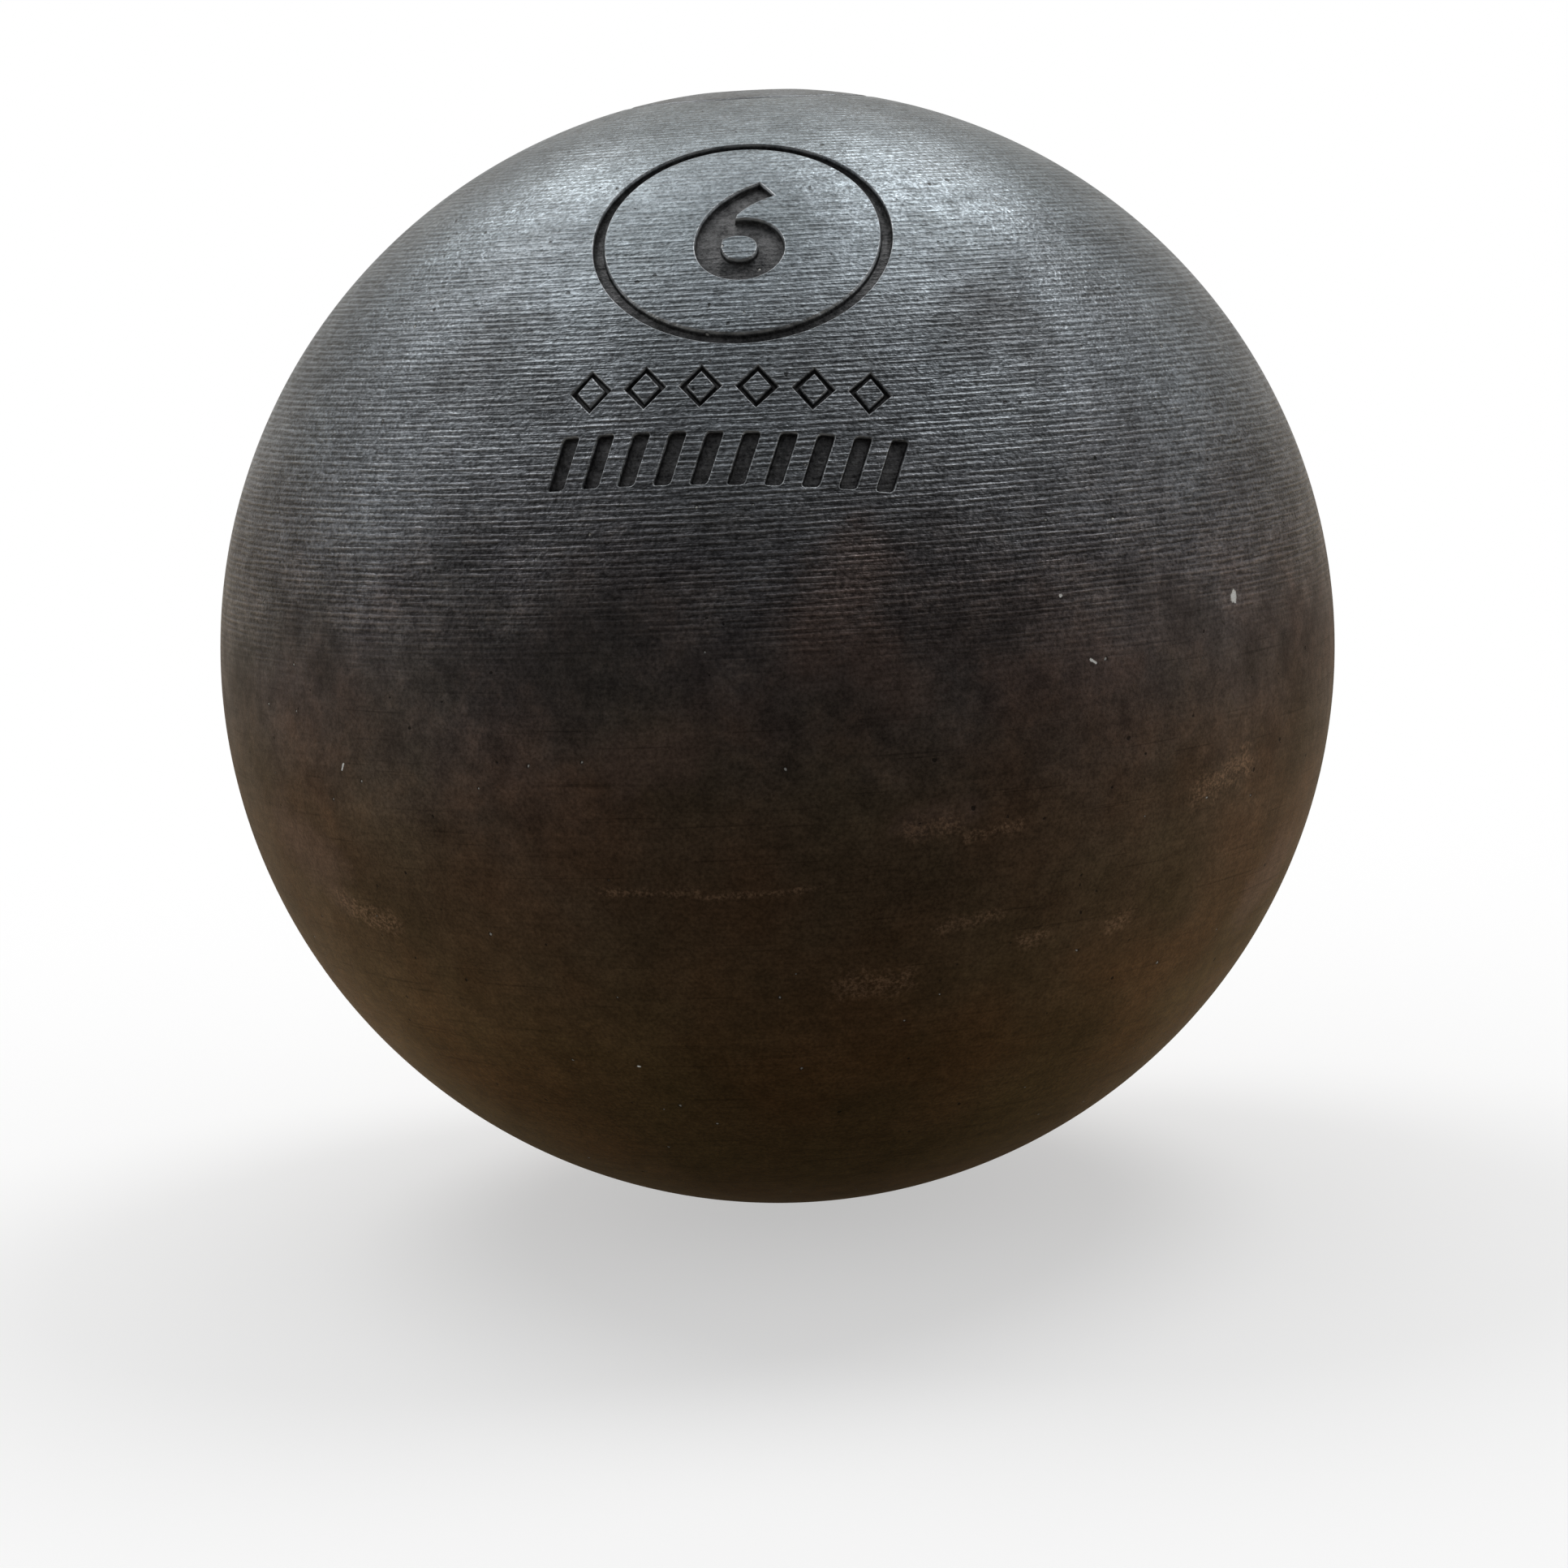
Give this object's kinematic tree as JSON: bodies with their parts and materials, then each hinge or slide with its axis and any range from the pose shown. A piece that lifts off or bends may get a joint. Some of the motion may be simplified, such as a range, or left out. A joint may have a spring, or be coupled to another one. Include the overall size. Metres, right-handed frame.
{
  "type": "shot put",
  "caption": "Turned iron ball for throwing, dark and lightly engraved, with a threaded plug in its pole over the weights that trim its mass.",
  "frame": {"origin": "centre of the ball", "axes": "+Z along the turning axis, out of the pole that holds the screw plug; the engraved marks face -Y, above the equator"},
  "size_m": [0.117, 0.117, 0.1167],
  "materials": {
    "turned_iron": "satin, fine turned grooves, dark oxide",
    "blacked_steel": "satin, turned, dark oxide",
    "seal_rubber": "matte",
    "grey_felt": "matte pressed felt",
    "lead": "dull cast lead"
  },
  "bodies": {
    "ball": {"iron_ball": "turned_iron", "lead_slug": "lead", "trim_disc_1": "lead", "trim_disc_2": "lead", "trim_disc_3": "lead", "packing_wad": "grey_felt"},
    "seal": {"seal_ring": "seal_rubber"},
    "plug": {"screw_plug": "blacked_steel"}
  },
  "joints": [
    {"name": "plug_lift", "type": "slide", "parent": "ball", "child": "seal", "axis": [0, 0, 1], "range_m": [0, 0.0126]},
    {"name": "plug_turn", "type": "hinge", "parent": "seal", "child": "plug", "pos_m": [0, 0, 0.053], "axis": [0, 0, 1], "range_deg": [0, 1800]}
  ],
  "couplings": [
    {"joint": "plug_lift", "follows": "plug_turn", "m_per_rad": 0.00039789}
  ]
}
